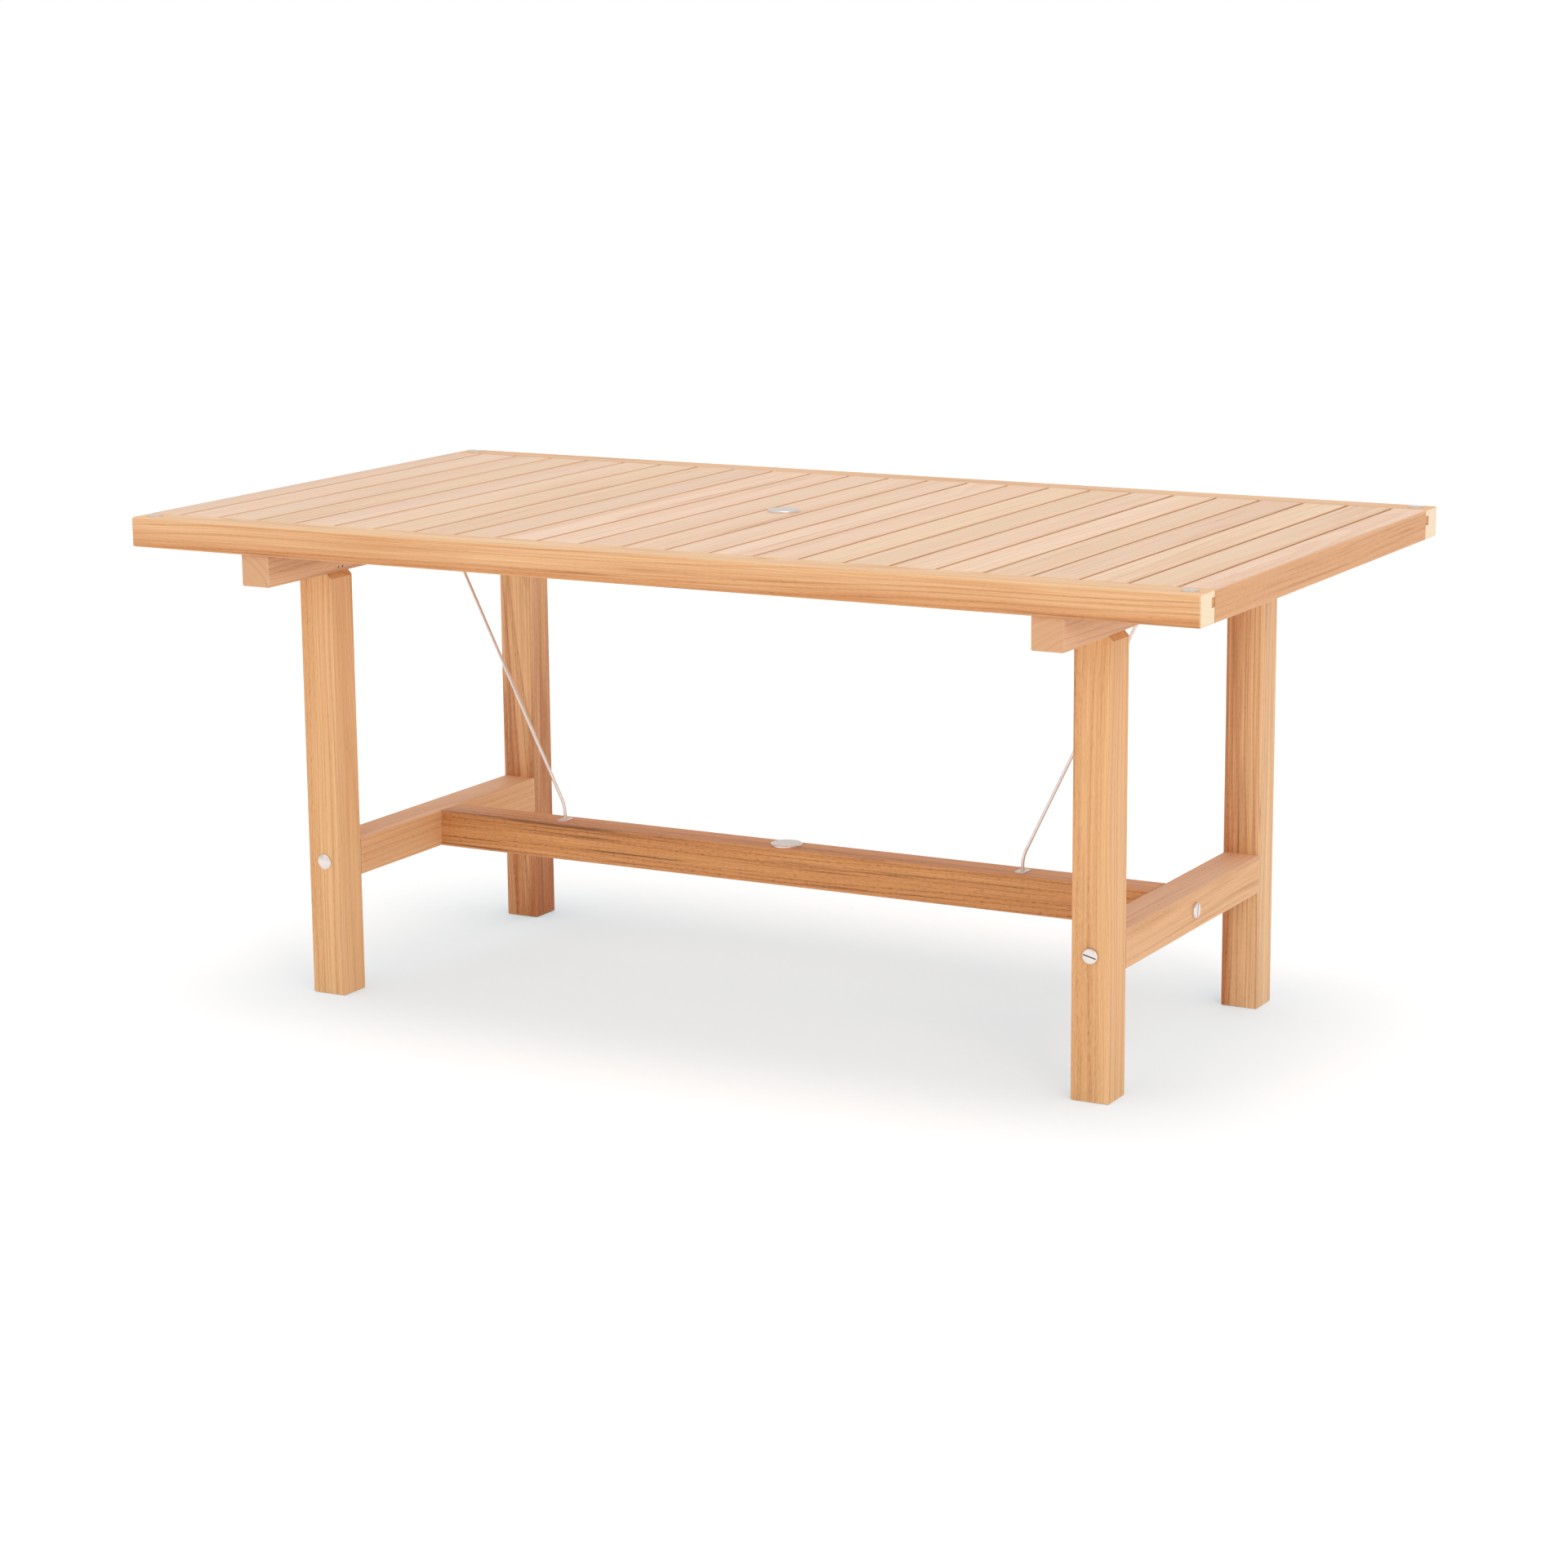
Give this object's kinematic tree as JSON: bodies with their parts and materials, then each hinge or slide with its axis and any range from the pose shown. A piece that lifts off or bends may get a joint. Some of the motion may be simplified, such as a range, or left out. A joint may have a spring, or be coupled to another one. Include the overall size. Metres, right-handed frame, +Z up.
{
  "type": "trestle picnic table",
  "caption": "Slatted teak garden table on two leg trestles, braced by a stretcher and tie rods, with a capped parasol hole and slotted bolts for knocking down.",
  "frame": {"origin": "on the ground under the centre of the table, at the level of the leg feet", "axes": "+X along the table, +Y across it towards the back, +Z up"},
  "size_m": [1.65, 0.89, 0.7232],
  "materials": {
    "top_teak": "untreated, finely sanded",
    "rail_teak": "untreated, finely sanded",
    "leg_teak": "untreated, finely sanded",
    "stretcher_teak": "untreated, finely sanded",
    "dowel_wood": "untreated, finely sanded",
    "stainless_steel": "brushed",
    "bolt_steel": "fine turned"
  },
  "bodies": {
    "table": {"barrel_nuts": "stainless_steel", "beam_left": "leg_teak", "beam_right": "leg_teak", "beam_screws": "stainless_steel", "centre_batten": "top_teak", "corner_pins": "stainless_steel", "dowels": "dowel_wood", "end_rail_left": "top_teak", "end_rail_right": "top_teak", "leg_back_left": "leg_teak", "leg_back_right": "leg_teak", "leg_front_left": "leg_teak", "leg_front_right": "leg_teak", "long_rail_back": "rail_teak", "long_rail_front": "rail_teak", "lower_rail_left": "stretcher_teak", "lower_rail_right": "stretcher_teak", "rod_foot_nuts": "stainless_steel", "rod_head_nuts": "stainless_steel", "rod_plate_left": "stainless_steel", "rod_plate_right": "stainless_steel", "rod_plate_screws": "stainless_steel", "slat_01": "top_teak", "slat_02": "top_teak", "slat_03": "top_teak", "slat_04": "top_teak", "slat_05": "top_teak", "slat_06": "top_teak", "slat_07": "top_teak", "slat_08": "top_teak", "slat_09": "top_teak", "slat_10": "top_teak", "slat_11": "top_teak", "slat_12": "top_teak", "slat_13": "top_teak", "slat_14": "top_teak", "slat_15": "top_teak", "slat_16": "top_teak", "slat_17": "top_teak", "slat_18": "top_teak", "slat_19": "top_teak", "slat_20": "top_teak", "slat_21": "top_teak", "slat_22": "top_teak", "slat_23": "top_teak", "slat_screws": "stainless_steel", "stretcher": "stretcher_teak", "tenon_pins": "dowel_wood", "tie_rod_left": "stainless_steel", "tie_rod_right": "stainless_steel"},
    "leg_bolt_front_left": {"leg_bolt_front_left": "bolt_steel"},
    "leg_bolt_front_right": {"leg_bolt_front_right": "bolt_steel"},
    "leg_bolt_back_left": {"leg_bolt_back_left": "bolt_steel"},
    "leg_bolt_back_right": {"leg_bolt_back_right": "bolt_steel"},
    "stretcher_bolt_left": {"stretcher_bolt_left": "bolt_steel"},
    "stretcher_bolt_right": {"stretcher_bolt_right": "bolt_steel"},
    "top_cap": {"top_cap": "stainless_steel"},
    "stretcher_cap": {"stretcher_cap": "stainless_steel"}
  },
  "joints": [
    {"name": "top_cap_lift", "type": "slide", "parent": "table", "child": "top_cap", "axis": [0, 0, 1], "range_m": [0, 0.06]},
    {"name": "stretcher_cap_lift", "type": "slide", "parent": "table", "child": "stretcher_cap", "axis": [0, 0, 1], "range_m": [0, 0.06]},
    {"name": "leg_bolt_front_left_withdraw", "type": "slide", "parent": "table", "child": "leg_bolt_front_left", "axis": [0, -1, 0], "range_m": [0, 0.1]},
    {"name": "leg_bolt_front_right_withdraw", "type": "slide", "parent": "table", "child": "leg_bolt_front_right", "axis": [0, -1, 0], "range_m": [0, 0.1]},
    {"name": "leg_bolt_back_left_withdraw", "type": "slide", "parent": "table", "child": "leg_bolt_back_left", "axis": [0, 1, 0], "range_m": [0, 0.1]},
    {"name": "leg_bolt_back_right_withdraw", "type": "slide", "parent": "table", "child": "leg_bolt_back_right", "axis": [0, 1, 0], "range_m": [0, 0.1]},
    {"name": "stretcher_bolt_left_withdraw", "type": "slide", "parent": "table", "child": "stretcher_bolt_left", "axis": [-1, 0, 0], "range_m": [0, 0.1]},
    {"name": "stretcher_bolt_right_withdraw", "type": "slide", "parent": "table", "child": "stretcher_bolt_right", "axis": [1, 0, 0], "range_m": [0, 0.1]}
  ]
}
